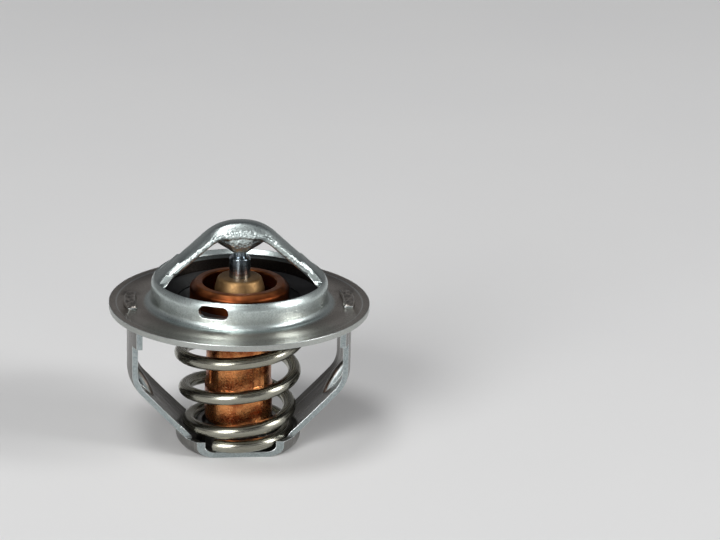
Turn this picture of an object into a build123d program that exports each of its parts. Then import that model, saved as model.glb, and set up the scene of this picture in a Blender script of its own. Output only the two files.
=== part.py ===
from build123d import *
import math
import os

# Engine coolant thermostat with a wax element, millimetres.
# The origin is on the valve axis in the plane of the flange's underside, +Z towards the bridge,
# and the bridge and the two legs lie along X.

# Flange and collar, drawn from one sheet
flange_radius = 27.0
flange_sheet = 1.2
rim_band_width = 1.5
coin_depth = 0.15
collar_radius = 18.3
collar_fillet = 1.3
seat_land_width = 2.6
seat_line_width = 0.3
seat_line_depth = 0.1
wall_height = 4.9
shoulder_radius = 2.4

# Vent slot in the front left of the collar
vent_length = 6.3
vent_height = 2.6
vent_angle = 249.5
vent_centre = 4.6

# Bridge over the collar
bridge_width = 6.8
bridge_slope = 43.0
crown_height = 19.0
bridge_crowning = 1.0
bridge_edge_fillet = 0.45
bridge_inset = 0.1
bridge_root = 1.2
foot_width = 9.8
foot_height = 10.5
foot_steepness = 1.2

# Cone pressed into the underside of the bridge, with the socket for the piston's tip
cone_tip_height = 12.2
cone_tip_radius = 1.95
cone_waist_width = 6.4
cone_waist_depth = 4.6
cone_waist_height = 13.1
cone_throat_width = 9.4
cone_throat_depth = 5.4
cone_throat_height = 14.1
cone_brim_width = 12.6
cone_brim_depth = 6.6
cone_brim_height = 15.9
cone_flare_width = 14.4
cone_flare_depth = 6.2
cone_sheet_share = 0.75
socket_depth = 1.3
socket_clearance = 0.05

# Lower frame, one strip with two legs and a spring pan
strip_sheet = 1.1
leg_radius = 23.3
leg_width = 13.4
hip_width = 18.0
hip_height = 6.2
arm_angle = 48.5
arm_bend_radius = 7.0
frame_depth = 30.0
pan_radius = 13.1
pan_wall_height = 3.4
pan_width = 19.0
pan_corner_radius = 2.4
pan_rim_radius = 1.0
neck_bore_radius = 7.7
neck_wall = 0.8
neck_height = 4.8
neck_bend_radius = 0.9
foot_strike = 0.02

# Stiffening beads across the bends of the legs
bead_length = 10.0
bead_width = 2.6
bead_radius = 20.4
bead_height = -16.25
bead_lean = 30.0

# Tabs of the legs, pushed through the flange's slots and crushed flat
tab_width = 9.8
slot_clearance = 0.1
tab_head_spread = 0.4
tab_head_height = 0.45

# Main spring, a conical helix of round wire with closed ends
wire_diameter = 2.7
spring_bottom_radius = 10.1
spring_top_radius = 12.9
spring_turns = 4.36
closed_turns = 0.95
closed_gap = 0.06
pitch_blend = 0.07
spring_start_angle = 237.5
points_per_turn = 16

# Piston
piston_radius = 2.2
piston_shoulder_height = 11.0
piston_neck_radius = 1.4
piston_chamfer = 0.35
piston_bottom = -18.0
piston_fit = 0.03

# Brass guide round the piston
hub_height = 6.6
hub_top_radius = 4.5
hub_radius = 5.2
hub_flare_height = 4.2
hub_edge_fillet = 0.8
guide_flange_radius = 5.95
guide_flange_top = 0.8
guide_flange_thickness = 2.8

# Wax capsule and what it holds
capsule_wall = 0.8
capsule_upper_radius = 6.8
capsule_lower_radius = 7.07
capsule_step_height = -16.4
capsule_base_gap = 4.6
capsule_corner_radius = 1.9
capsule_step_rise = 0.4
crimp_thickness = 0.8
assembly_gap = 0.05
washer_thickness = 0.8
sleeve_flange_thickness = 1.2
sleeve_radius = 3.6
sleeve_floor = 1.2
sleeve_end_play = 0.3

# Valve plate and its rubber seal
disc_radius = 15.5
disc_underside = -1.6
disc_sheet = 0.9
plate_wall_radius = 10.3
plate_rim_height = 5.5
plate_rim_width = 1.5
plate_rim_chamfer = 1.0
plate_rim_fillet = 0.35
plate_shoulder_fillet = 0.7
plate_well_radius = 7.7
plate_well_floor = 0.6
seal_face_height = 1.3
seal_land_radius = 13.1
seal_step = 0.2
seal_seat_gap = 0.25
seal_outer_radius = 18.2
seal_rim_angle = 55.0
seal_hook = 0.7

# Values worked out from the sizes above
collar_bore = collar_radius - flange_sheet
seat_radius = collar_fillet + flange_sheet
seat_centre_radius = collar_radius + collar_fillet
shoulder_turn = 90.0 - bridge_slope
slope_tangent = math.tan(math.radians(bridge_slope))
ridge_radius = collar_radius - bridge_inset
ridge_bend = shoulder_radius - bridge_inset
shoulder_corner = wall_height + ridge_bend * math.tan(math.radians(shoulder_turn / 2))
bridge_apex = shoulder_corner + ridge_radius * slope_tangent
crown_radius = (bridge_apex - crown_height) / (1 / math.cos(math.radians(bridge_slope)) - 1)
crown_centre = crown_height - crown_radius
half_bridge = bridge_width / 2
half_foot = foot_width / 2
foot_crowning = ridge_radius - math.sqrt(ridge_radius**2 - half_foot**2)
pan_rim = -frame_depth + pan_wall_height
pan_floor = -frame_depth + strip_sheet
pan_foot = -frame_depth - foot_strike
arm_corner = pan_rim + (leg_radius - pan_radius) * math.tan(math.radians(arm_angle))
leg_inner_radius = leg_radius - strip_sheet
corner_shift = strip_sheet * math.tan(math.radians((90 - arm_angle) / 2))
socket_end = cone_tip_height + socket_depth
spring_rise = disc_underside - pan_floor - wire_diameter
guide_bottom = guide_flange_top - guide_flange_thickness
washer_bottom = guide_bottom - washer_thickness
sleeve_flange_bottom = washer_bottom - sleeve_flange_thickness
sleeve_bottom = piston_bottom - sleeve_end_play - sleeve_floor
capsule_bore = capsule_upper_radius - capsule_wall
capsule_lower_bore = capsule_lower_radius - capsule_wall
capsule_bottom = -frame_depth + capsule_base_gap
piston_bore = piston_radius + piston_fit
disc_top = disc_underside + disc_sheet

os.makedirs("parts", exist_ok=True)

# Pressed cone under the crown: it flares along the bridge up into the sheet
with BuildPart() as cone:
    with BuildSketch(Plane.XY.offset(cone_tip_height)):
        Circle(cone_tip_radius)
    with BuildSketch(Plane.XY.offset(cone_waist_height)):
        Ellipse(cone_waist_width / 2, cone_waist_depth / 2)
    with BuildSketch(Plane.XY.offset(cone_throat_height)):
        Ellipse(cone_throat_width / 2, cone_throat_depth / 2)
    with BuildSketch(Plane.XY.offset(cone_brim_height)):
        Ellipse(cone_brim_width / 2, cone_brim_depth / 2)
    with BuildSketch(Plane.XY.offset(crown_height - flange_sheet)):
        Ellipse(cone_flare_width / 2, cone_flare_depth / 2)
    loft()
    with BuildSketch(Plane.XZ):
        with Locations((0, crown_centre)):
            Circle(crown_radius - flange_sheet * cone_sheet_share)
    extrude(amount=half_bridge, both=True, mode=Mode.INTERSECT)
    with BuildSketch(Plane.XY.offset(cone_tip_height)):
        Circle(piston_neck_radius + socket_clearance)
    extrude(amount=socket_depth, mode=Mode.SUBTRACT)

# Ridge of the bridge, from shoulder to shoulder
with BuildLine(Plane.XZ) as ridge:
    FilletPolyline(
        (ridge_radius, wall_height - bridge_root),
        (ridge_radius, shoulder_corner),
        (0, bridge_apex),
        (-ridge_radius, shoulder_corner),
        (-ridge_radius, wall_height - bridge_root),
        radius=(ridge_bend, crown_radius, ridge_bend),
    )

# Feet of the bridge: the strip widens in a curve down to the collar, as the windows' corners leave it
with BuildPart() as bridge_feet:
    with BuildSketch(Plane.XY.offset(wall_height - bridge_root)):
        with BuildLine():
            foot_outside = ThreePointArc(
                (ridge_radius - foot_crowning, -half_foot),
                (ridge_radius, 0),
                (ridge_radius - foot_crowning, half_foot),
            )
            foot_inside = ThreePointArc(
                (ridge_radius - flange_sheet - foot_crowning, half_foot),
                (ridge_radius - flange_sheet, 0),
                (ridge_radius - flange_sheet - foot_crowning, -half_foot),
            )
            Line(foot_outside @ 1, foot_inside @ 0)
            Line(foot_inside @ 1, foot_outside @ 0)
        make_face()
    sweep(path=ridge.wires()[0])
    with BuildSketch(Plane.YZ):
        with BuildLine():
            foot_base = Line((-half_foot, 0), (half_foot, 0))
            right_side = Line(foot_base @ 1, (half_foot, shoulder_corner))
            right_curve = TangentArc(
                right_side @ 1, (half_bridge - bridge_edge_fillet, foot_height), tangent=(-1, foot_steepness)
            )
            foot_top = Line(right_curve @ 1, (-half_bridge + bridge_edge_fillet, foot_height))
            left_curve = TangentArc((-half_foot, shoulder_corner), foot_top @ 1, tangent=(1, foot_steepness))
            Line((-half_foot, shoulder_corner), foot_base @ 0)
        make_face()
    extrude(amount=flange_radius, both=True, mode=Mode.INTERSECT)

# Upper frame: the sheet's section turned round the axis gives the flange, the seat, the collar and
# its shoulder, which stops where the two windows are punched out
shoulder_centre = (collar_radius - shoulder_radius, wall_height)
fillet_centre = (seat_centre_radius, seat_radius)
coined_radius = flange_radius - rim_band_width
seat_land_radius = flange_radius - seat_land_width
vent_direction = Vector(1, 0, 0).rotate(Axis.Z, vent_angle)
vent_plane = Plane(
    origin=vent_direction * collar_bore / 2 + Vector(0, 0, vent_centre),
    x_dir=vent_direction.rotate(Axis.Z, 90),
    z_dir=vent_direction,
)
with BuildPart() as upper_frame:
    with BuildSketch(Plane.XZ):
        with BuildLine():
            top = Polyline(
                (flange_radius, 0),
                (flange_radius, flange_sheet),
                (coined_radius, flange_sheet),
                (coined_radius - coin_depth, flange_sheet - coin_depth),
                (seat_centre_radius + coin_depth, flange_sheet - coin_depth),
                (seat_centre_radius, flange_sheet),
            )
            fillet_arc = CenterArc(fillet_centre, collar_fillet, -90, -90)
            outer_wall = Line(fillet_arc @ 1, (collar_radius, wall_height))
            outer_bend = CenterArc(shoulder_centre, shoulder_radius, 0, shoulder_turn)
            inner_bend = CenterArc(shoulder_centre, shoulder_radius - flange_sheet, 0, shoulder_turn)
            cut_edge = Line(outer_bend @ 1, inner_bend @ 1)
            inner_wall = Line(inner_bend @ 0, (collar_bore, seat_radius))
            seat_arc = CenterArc(fillet_centre, seat_radius, 180, 90)
            underside = Line(seat_arc @ 1, top @ 0)
        make_face()
    revolve(axis=Axis.Z)

    # Pressed line round the underside, between the land that seals in the housing and the part
    # that the legs bear on
    with BuildSketch(Plane.XY):
        Circle(seat_land_radius)
        Circle(seat_land_radius - seat_line_width, mode=Mode.SUBTRACT)
    extrude(amount=seat_line_depth, mode=Mode.SUBTRACT)

    # Slots for the tabs of the legs
    with BuildSketch(Plane.XY):
        Circle(leg_radius + slot_clearance)
        Circle(leg_inner_radius - slot_clearance, mode=Mode.SUBTRACT)
        Rectangle(2 * flange_radius, tab_width + 2 * slot_clearance, mode=Mode.INTERSECT)
    extrude(amount=flange_sheet, both=True, mode=Mode.SUBTRACT)

    # Vent slot, cut square to the collar's wall
    with BuildSketch(vent_plane):
        SlotOverall(vent_length, vent_height)
    extrude(amount=collar_radius, mode=Mode.SUBTRACT)

    # Bridge: a crowned strip that follows the ridge
    with BuildSketch(Plane.XY.offset(wall_height - bridge_root)):
        with BuildLine():
            outside = ThreePointArc(
                (ridge_radius - bridge_crowning, -half_bridge),
                (ridge_radius, 0),
                (ridge_radius - bridge_crowning, half_bridge),
            )
            inside = ThreePointArc(
                (ridge_radius - flange_sheet - bridge_crowning, half_bridge),
                (ridge_radius - flange_sheet, 0),
                (ridge_radius - flange_sheet - bridge_crowning, -half_bridge),
            )
            Line(outside @ 1, inside @ 0)
            Line(inside @ 1, outside @ 0)
        make_face()
        fillet(vertices(), bridge_edge_fillet)
    sweep(path=ridge.wires()[0])
    add(bridge_feet)
    add(cone)

    # Everything inside the collar's bore stays open for the valve
    with BuildSketch(Plane.XY):
        Circle(collar_bore)
    extrude(amount=wall_height, mode=Mode.SUBTRACT)
upper_frame.part.label = "upper_frame"
export_step(upper_frame.part, "parts/upper_frame.step")

# Lower frame: the section of the legs, arms and pan is turned round the axis, then trimmed to the
# outline of the strip as it is seen along X, which also strikes the pan's foot flat
neck_top = -frame_depth + neck_height
with BuildPart() as lower_frame:
    with BuildSketch(Plane.XZ):
        with BuildLine():
            outside = FilletPolyline(
                (leg_radius, 0),
                (leg_radius, arm_corner),
                (pan_radius, pan_rim),
                (pan_radius, pan_foot),
                (neck_bore_radius, pan_foot),
                (neck_bore_radius, neck_top),
                radius=(arm_bend_radius, pan_rim_radius, pan_corner_radius, neck_bend_radius),
            )
            inside = FilletPolyline(
                (leg_inner_radius, 0),
                (leg_inner_radius, arm_corner + corner_shift),
                (pan_radius - strip_sheet, pan_rim + corner_shift),
                (pan_radius - strip_sheet, pan_floor),
                (neck_bore_radius + neck_wall, pan_floor),
                (neck_bore_radius + neck_wall, neck_top),
                radius=(
                    arm_bend_radius - strip_sheet,
                    pan_rim_radius + strip_sheet,
                    pan_corner_radius - strip_sheet,
                    neck_bend_radius / 2,
                ),
            )
            Line(outside @ 0, inside @ 0)
            Line(outside @ 1, inside @ 1)
        make_face()
    revolve(axis=Axis.Z)
    with BuildSketch(Plane.YZ):
        with Locations((0, -hip_height / 2)):
            Rectangle(hip_width, hip_height)
        with Locations((0, pan_rim / 2)):
            Rectangle(leg_width, -pan_rim)
        with Locations((0, pan_rim - pan_wall_height / 2)):
            Rectangle(pan_width, pan_wall_height)
    extrude(amount=flange_radius, both=True, mode=Mode.INTERSECT)

    # Tabs of the legs through the flange, with their crushed heads
    with BuildSketch(Plane.XY):
        Circle(leg_radius)
        Circle(leg_inner_radius, mode=Mode.SUBTRACT)
        Rectangle(2 * flange_radius, tab_width, mode=Mode.INTERSECT)
    extrude(amount=flange_sheet)
    with BuildSketch(Plane.XY.offset(flange_sheet - coin_depth)):
        Circle(leg_radius + tab_head_spread)
        Circle(leg_inner_radius - tab_head_spread, mode=Mode.SUBTRACT)
        Rectangle(2 * flange_radius, tab_width + tab_head_spread, mode=Mode.INTERSECT)
        fillet(vertices(), tab_head_spread)
    extrude(amount=tab_head_height)

    # Stiffening beads across the bends, pressed inwards from grooves on the outside
    for side in (1, -1):
        bead_plane = Plane(
            origin=(side * bead_radius, 0, bead_height),
            x_dir=(side * math.sin(math.radians(bead_lean)), 0, math.cos(math.radians(bead_lean))),
            z_dir=(0, 1, 0),
        )
        groove_plane = bead_plane.offset(0)
        groove_plane.origin += Vector(side * strip_sheet, 0, -strip_sheet / 2)
        with BuildSketch(bead_plane):
            Ellipse(bead_length / 2, bead_width / 2)
            with Locations((0, -bead_width)):
                Rectangle(bead_length, 2 * bead_width, mode=Mode.SUBTRACT)
        revolve(axis=Axis(bead_plane.origin, bead_plane.x_dir))
        with BuildSketch(groove_plane):
            Ellipse(bead_length / 2, bead_width / 2)
            with Locations((0, -bead_width)):
                Rectangle(bead_length, 2 * bead_width, mode=Mode.SUBTRACT)
        revolve(axis=Axis(groove_plane.origin, groove_plane.x_dir), mode=Mode.SUBTRACT)
lower_frame.part.label = "lower_frame"
export_step(lower_frame.part, "parts/lower_frame.step")


# Height of the spring's wire above its lower end, in turns n: the closed coils climb by one wire a
# turn, the active ones by active_pitch, and softplus ramps blend one into the other
def softplus(value):
    return math.log1p(math.exp(-abs(value))) + max(value, 0)


def wire_climb(n):
    ramp = pitch_blend * (
        softplus((n - closed_turns) / pitch_blend) - softplus((n - spring_turns + closed_turns) / pitch_blend)
    )
    return closed_pitch * n + (active_pitch - closed_pitch) * ramp


# Main spring: wire of round section swept along the conical helix
closed_pitch = wire_diameter + closed_gap
active_pitch = closed_pitch + (spring_rise - closed_pitch * spring_turns) / (spring_turns - 2 * closed_turns)
wire_points = []
for step in range(math.ceil(spring_turns * points_per_turn) + 1):
    n = spring_turns * step / math.ceil(spring_turns * points_per_turn)
    height = wire_climb(n)
    radius = spring_bottom_radius + (spring_top_radius - spring_bottom_radius) * height / spring_rise
    angle = math.radians(spring_start_angle) + 2 * math.pi * n
    wire_points.append(
        (radius * math.cos(angle), radius * math.sin(angle), pan_floor + wire_diameter / 2 + height)
    )
with BuildPart() as main_spring:
    with BuildLine() as wire_line:
        Spline(*wire_points)
    with BuildSketch(wire_line.line ^ 0):
        Circle(wire_diameter / 2)
    sweep(path=wire_line.line, is_frenet=True)
main_spring.part.label = "main_spring"
export_step(main_spring.part, "parts/main_spring.step")

# Piston: a ground rod with a chamfered shoulder under its narrower tip
with BuildPart() as piston:
    with BuildSketch(Plane.XY.offset(piston_bottom)):
        Circle(piston_radius)
    extrude(amount=piston_shoulder_height - piston_bottom)
    chamfer(piston.edges().filter_by(GeomType.CIRCLE), piston_chamfer)
    with BuildSketch(Plane.XY.offset(piston_shoulder_height)):
        Circle(piston_neck_radius)
    extrude(amount=socket_end - piston_shoulder_height)
piston.part.label = "piston"
export_step(piston.part, "parts/piston.step")

# Piston guide: turned brass, with the flange that the capsule is crimped over
with BuildPart() as piston_guide:
    with BuildSketch(Plane.XZ):
        with BuildLine():
            Polyline(
                (piston_bore, guide_bottom),
                (guide_flange_radius, guide_bottom),
                (guide_flange_radius, guide_flange_top),
                (hub_radius, guide_flange_top),
                (hub_radius, hub_flare_height),
                (hub_top_radius, hub_height),
                (piston_bore, hub_height),
                close=True,
            )
        make_face()
    revolve(axis=Axis.Z)
    hub_circles = piston_guide.edges().filter_by(GeomType.CIRCLE)
    hub_top_edges = hub_circles.filter_by_position(Axis.Z, hub_height, hub_height).sort_by(SortBy.RADIUS)
    fillet(hub_top_edges[-1], hub_edge_fillet)
piston_guide.part.label = "piston_guide"
export_step(piston_guide.part, "parts/piston_guide.step")

# Backup washer that keeps the sleeve out of the piston's running gap
with BuildPart() as backup_washer:
    with BuildSketch(Plane.XY.offset(washer_bottom)):
        Circle(guide_flange_radius)
        Circle(piston_bore, mode=Mode.SUBTRACT)
    extrude(amount=washer_thickness)
backup_washer.part.label = "backup_washer"
export_step(backup_washer.part, "parts/backup_washer.step")

# Rubber sleeve round the piston, closed at its lower end, with a sealing flange
with BuildPart() as rubber_sleeve:
    with BuildSketch(Plane.XY.offset(sleeve_flange_bottom)):
        Circle(guide_flange_radius)
    extrude(amount=sleeve_flange_thickness)
    with BuildSketch(Plane.XY.offset(sleeve_bottom)):
        Circle(sleeve_radius)
    extrude(amount=sleeve_flange_bottom - sleeve_bottom)
    with BuildSketch(Plane.XY.offset(washer_bottom)):
        Circle(piston_bore)
    extrude(amount=-(washer_bottom - sleeve_bottom - sleeve_floor), mode=Mode.SUBTRACT)
rubber_sleeve.part.label = "rubber_sleeve"
export_step(rubber_sleeve.part, "parts/rubber_sleeve.step")

# Wax capsule: drawn copper cup, a little wider below its step, crimped over the guide's flange
with BuildPart() as wax_capsule:
    with BuildSketch(Plane.XZ):
        with BuildLine():
            Polyline(
                (0, capsule_bottom),
                (capsule_lower_radius, capsule_bottom),
                (capsule_lower_radius, capsule_step_height - capsule_step_rise),
                (capsule_upper_radius, capsule_step_height),
                (capsule_upper_radius, guide_flange_top + crimp_thickness),
                (hub_radius + assembly_gap, guide_flange_top + crimp_thickness),
                (hub_radius + assembly_gap, guide_flange_top),
                (capsule_bore, guide_flange_top),
                (capsule_bore, capsule_step_height),
                (capsule_lower_bore, capsule_step_height - capsule_step_rise),
                (capsule_lower_bore, capsule_bottom + capsule_wall),
                (0, capsule_bottom + capsule_wall),
                close=True,
            )
        make_face()
    revolve(axis=Axis.Z)
    bottom_circles = wax_capsule.edges().filter_by(GeomType.CIRCLE)
    fillet(bottom_circles.filter_by_position(Axis.Z, capsule_bottom, capsule_bottom), capsule_corner_radius)
    inner_bottom = capsule_bottom + capsule_wall
    inner_circles = wax_capsule.edges().filter_by(GeomType.CIRCLE)
    fillet(
        inner_circles.filter_by_position(Axis.Z, inner_bottom, inner_bottom),
        capsule_corner_radius - capsule_wall,
    )
wax_capsule.part.label = "wax_capsule"
export_step(wax_capsule.part, "parts/wax_capsule.step")

# Wax charge: all the room between the capsule and the sleeve
with BuildPart() as wax_charge:
    with BuildSketch(Plane.XZ):
        with BuildLine():
            Polyline(
                (0, inner_bottom),
                (capsule_lower_bore, inner_bottom),
                (capsule_lower_bore, capsule_step_height - capsule_step_rise),
                (capsule_bore, capsule_step_height),
                (capsule_bore, sleeve_flange_bottom),
                (sleeve_radius, sleeve_flange_bottom),
                (sleeve_radius, sleeve_bottom),
                (0, sleeve_bottom),
                close=True,
            )
        make_face()
    revolve(axis=Axis.Z)
    wax_circles = wax_charge.edges().filter_by(GeomType.CIRCLE)
    fillet(
        wax_circles.filter_by_position(Axis.Z, inner_bottom, inner_bottom),
        capsule_corner_radius - capsule_wall,
    )
wax_charge.part.label = "wax_charge"
export_step(wax_charge.part, "parts/wax_charge.step")

# Valve plate: pressed ring, folded double at its upright rim, tight on the capsule
rim_outer = plate_well_radius + plate_rim_width
with BuildPart() as valve_plate:
    with BuildSketch(Plane.XZ):
        with BuildLine():
            Polyline(
                (capsule_upper_radius + assembly_gap, disc_underside),
                (disc_radius, disc_underside),
                (disc_radius, disc_top),
                (plate_wall_radius, disc_top),
                (plate_wall_radius, plate_rim_height - plate_rim_chamfer),
                (rim_outer, plate_rim_height),
                (plate_well_radius, plate_rim_height),
                (plate_well_radius, plate_well_floor),
                (capsule_upper_radius + assembly_gap, plate_well_floor),
                close=True,
            )
        make_face()
    revolve(axis=Axis.Z)
    rim_circles = valve_plate.edges().filter_by(GeomType.CIRCLE)
    top_circles = rim_circles.filter_by_position(Axis.Z, plate_rim_height, plate_rim_height)
    rim_edges = top_circles.sort_by(SortBy.RADIUS)
    shoulder_height = plate_rim_height - plate_rim_chamfer
    shoulder_edges = rim_circles.filter_by_position(Axis.Z, shoulder_height, shoulder_height)
    fillet(rim_edges[0], plate_rim_fillet)
    fillet([rim_edges[-1], *shoulder_edges], plate_shoulder_fillet)
valve_plate.part.label = "valve_plate"
export_step(valve_plate.part, "parts/valve_plate.step")

# Valve seal: rubber ring on the disc, hooked over its edge, with a lip that follows the seat
seal_arc_radius = seat_radius + seal_seat_gap
seal_inner_radius = plate_wall_radius + assembly_gap
with BuildPart() as valve_seal:
    with BuildSketch(Plane.XZ):
        with BuildLine():
            lip = CenterArc(fillet_centre, seal_arc_radius, 180, seal_rim_angle)
            Polyline(
                lip @ 1,
                (seal_outer_radius, disc_top),
                (seal_outer_radius - seal_hook, disc_underside),
                (disc_radius + assembly_gap, disc_underside),
                (disc_radius + assembly_gap, disc_top),
                (seal_inner_radius, disc_top),
                (seal_inner_radius, seal_face_height),
                (seal_land_radius, seal_face_height),
                (seal_land_radius, seal_face_height + seal_step),
                lip @ 0,
            )
        make_face()
    revolve(axis=Axis.Z)
valve_seal.part.label = "valve_seal"
export_step(valve_seal.part, "parts/valve_seal.step")
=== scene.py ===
import math

import bmesh
import bpy
import numpy as np
from mathutils import Matrix, Vector


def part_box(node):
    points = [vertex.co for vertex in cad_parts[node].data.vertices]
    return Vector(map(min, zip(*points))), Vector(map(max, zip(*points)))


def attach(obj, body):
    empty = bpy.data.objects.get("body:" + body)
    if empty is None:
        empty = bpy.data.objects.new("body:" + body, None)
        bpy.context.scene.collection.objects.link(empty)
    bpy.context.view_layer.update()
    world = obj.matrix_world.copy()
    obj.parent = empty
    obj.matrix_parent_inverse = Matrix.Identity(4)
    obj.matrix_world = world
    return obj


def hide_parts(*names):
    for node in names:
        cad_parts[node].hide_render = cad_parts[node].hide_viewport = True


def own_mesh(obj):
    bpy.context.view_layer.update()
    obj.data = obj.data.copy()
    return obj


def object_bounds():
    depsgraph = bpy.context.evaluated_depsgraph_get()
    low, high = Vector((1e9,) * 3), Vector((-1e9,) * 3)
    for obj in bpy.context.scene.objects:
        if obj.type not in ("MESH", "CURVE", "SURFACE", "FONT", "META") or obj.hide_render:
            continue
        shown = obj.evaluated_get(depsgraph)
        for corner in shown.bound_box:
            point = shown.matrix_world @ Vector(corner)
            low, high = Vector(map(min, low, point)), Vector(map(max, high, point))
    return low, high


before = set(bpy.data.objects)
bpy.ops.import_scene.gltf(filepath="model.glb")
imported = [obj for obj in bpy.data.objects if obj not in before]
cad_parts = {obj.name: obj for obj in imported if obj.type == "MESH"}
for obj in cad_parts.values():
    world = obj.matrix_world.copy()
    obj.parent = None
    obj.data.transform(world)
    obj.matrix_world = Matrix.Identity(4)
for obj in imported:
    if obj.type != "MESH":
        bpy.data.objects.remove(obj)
cad_low, cad_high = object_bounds()


# Camera
# The view is a long lens on a table tripod, 0.6 m from the valve axis and
# 19.7 degrees above the flange, a little to the left of its front.
photo_width, photo_height = 720, 540
lens_pixels = 2889.6
axis_pixel = (239.43, 305.92)
sensor_width = 36
camera_distance = 0.6
camera_height = math.radians(19.706)
camera_side = math.radians(3.6)
camera_roll = math.radians(0.65)

camera = bpy.data.objects.new("Camera", bpy.data.cameras.new("Camera"))
bpy.context.scene.collection.objects.link(camera)
camera.data.sensor_width = sensor_width
camera.data.lens = sensor_width * lens_pixels / photo_width
camera.data.clip_start = 0.05
camera.data.clip_end = 20
facing_axis = (
    Matrix.Rotation(-camera_side, 4, "Z")
    @ Matrix.Rotation(math.pi / 2 - camera_height, 4, "X")
    @ Matrix.Rotation(camera_roll, 4, "Z")
)
axis_in_view = Vector((axis_pixel[0] - photo_width / 2, photo_height / 2 - axis_pixel[1], -lens_pixels))
turn_aside = Vector((0, 0, -1)).rotation_difference(axis_in_view).to_matrix().to_4x4()
camera_place = facing_axis @ Vector((0, 0, camera_distance))
camera.matrix_world = Matrix.Translation(camera_place) @ facing_axis @ turn_aside.inverted()
bpy.context.scene.camera = camera
bpy.context.scene.view_settings.view_transform = "Standard"


# Studio
# A pale matt table top under the part, with a broad softbox on the left, a
# narrower one on the right and a small one above, in a mid-grey room.


def linear(hex_colour):
    """The linear RGBA of an sRGB hex colour: each channel under 0.04045 is
    divided by 12.92, and above it is ((c + 0.055) / 1.055) to the power 2.4."""
    levels = np.array([int(hex_colour[i : i + 2], 16) for i in (1, 3, 5)]) / 255
    low = levels / 12.92
    high = ((levels + 0.055) / 1.055) ** 2.4
    return (*np.where(levels <= 0.04045, low, high).tolist(), 1.0)


def add_node(tree, kind, inputs=None, **settings):
    """Adds a node with its settings. Each input is a number, a colour, one
    output of another node, or a whole node, whose first output in use is meant."""
    node = tree.nodes.new(kind)
    for name, value in settings.items():
        setattr(node, name, value)
    for socket, value in (inputs or {}).items():
        if isinstance(value, bpy.types.Node):
            value = next(output for output in value.outputs if output.enabled)
        if isinstance(value, bpy.types.NodeSocket):
            tree.links.new(value, node.inputs[socket])
        else:
            node.inputs[socket].default_value = value
    return node


def new_material(name):
    """An empty material, its node tree and its object coordinates."""
    material = bpy.data.materials.new(name)
    material.use_nodes = True
    material.node_tree.nodes.clear()
    place = add_node(material.node_tree, "ShaderNodeTexCoord")
    return material, material.node_tree, place.outputs["Object"]


def mesh_piece(name, points, faces, material, smooth=True):
    """A mesh object at the origin from arrays of points and face corners."""
    mesh = bpy.data.meshes.new(name)
    mesh.from_pydata(points.tolist(), [], [list(face) for face in faces])
    mesh.polygons.foreach_set("use_smooth", [smooth] * len(mesh.polygons))
    mesh.materials.append(material)
    mesh.update()
    piece = bpy.data.objects.new(name, mesh)
    bpy.context.scene.collection.objects.link(piece)
    return piece


# Settings that many nodes share: a mix of colours, and a range with soft ends.
colour_mix = {"data_type": "RGBA"}
soft_step = {"interpolation_type": "SMOOTHSTEP"}

# Matt lacquered board: pale, without gloss, only the faintest mottle.
table_lacquer, tree, place = new_material("matt_lacquer")
mottle = add_node(tree, "ShaderNodeTexNoise", {"Vector": place, "Scale": 14.0, "Detail": 2.0})
shade = add_node(
    tree,
    "ShaderNodeMix",
    {"Factor": mottle, "A": linear("#D8D8D8"), "B": linear("#DCDCDB")},
    **colour_mix,
)
surface = add_node(tree, "ShaderNodeBsdfPrincipled", {"Base Color": shade, "Roughness": 0.85})
add_node(tree, "ShaderNodeOutputMaterial", {"Surface": surface})

table_half_width = 4.0
table_corners = np.array([[-1, -1, 0], [1, -1, 0], [1, 1, 0], [-1, 1, 0]]) * table_half_width
table_corners[:, 2] = cad_low.z
mesh_piece("table_top", table_corners, [(0, 1, 2, 3)], table_lacquer, smooth=False)


def softbox(name, azimuth, elevation, distance, width, height, power):
    """A rectangular lamp that faces the part from an azimuth, counted from the
    front towards the right, and an elevation above the table."""
    lamp = bpy.data.objects.new(name, bpy.data.lights.new(name, "AREA"))
    bpy.context.scene.collection.objects.link(lamp)
    lamp.data.shape = "RECTANGLE"
    lamp.data.size = width
    lamp.data.size_y = height
    lamp.data.energy = power
    across, up = math.radians(azimuth), math.radians(elevation)
    out = Vector((math.sin(across) * math.cos(up), -math.cos(across) * math.cos(up), math.sin(up)))
    aim = out.to_track_quat("Z", "Y").to_matrix().to_4x4()
    lamp.matrix_world = Matrix.Translation(out * distance) @ aim


softbox("left_softbox", azimuth=-34, elevation=24, distance=1.8, width=0.8, height=1.24, power=30)
softbox("right_softbox", azimuth=68, elevation=24, distance=1.8, width=0.44, height=1.2, power=22)
softbox("top_softbox", azimuth=-38, elevation=70, distance=1.8, width=0.52, height=0.52, power=10.4)

world = bpy.data.worlds.new("Studio")
world.use_nodes = True
bpy.context.scene.world = world
world.node_tree.nodes.clear()
looking = add_node(world.node_tree, "ShaderNodeTexCoord")
heights = add_node(world.node_tree, "ShaderNodeSeparateXYZ", {"Vector": looking.outputs["Generated"]})
ceiling = add_node(
    world.node_tree,
    "ShaderNodeMapRange",
    {"Value": heights.outputs["Z"], "From Min": 0.3, "From Max": 0.75},
    **soft_step,
)
walls = add_node(
    world.node_tree,
    "ShaderNodeMix",
    {"Factor": ceiling, "A": linear("#807F80"), "B": linear("#3C3D42")},
    **colour_mix,
)
room = add_node(world.node_tree, "ShaderNodeBackground", {"Color": walls, "Strength": 1.0})
add_node(world.node_tree, "ShaderNodeOutputWorld", {"Surface": room})


# Upper frame
# The flange, collar and bridge are one pressing of low-carbon steel sheet,
# zinc plated after drawing and piercing. It carries everything else.

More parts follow.
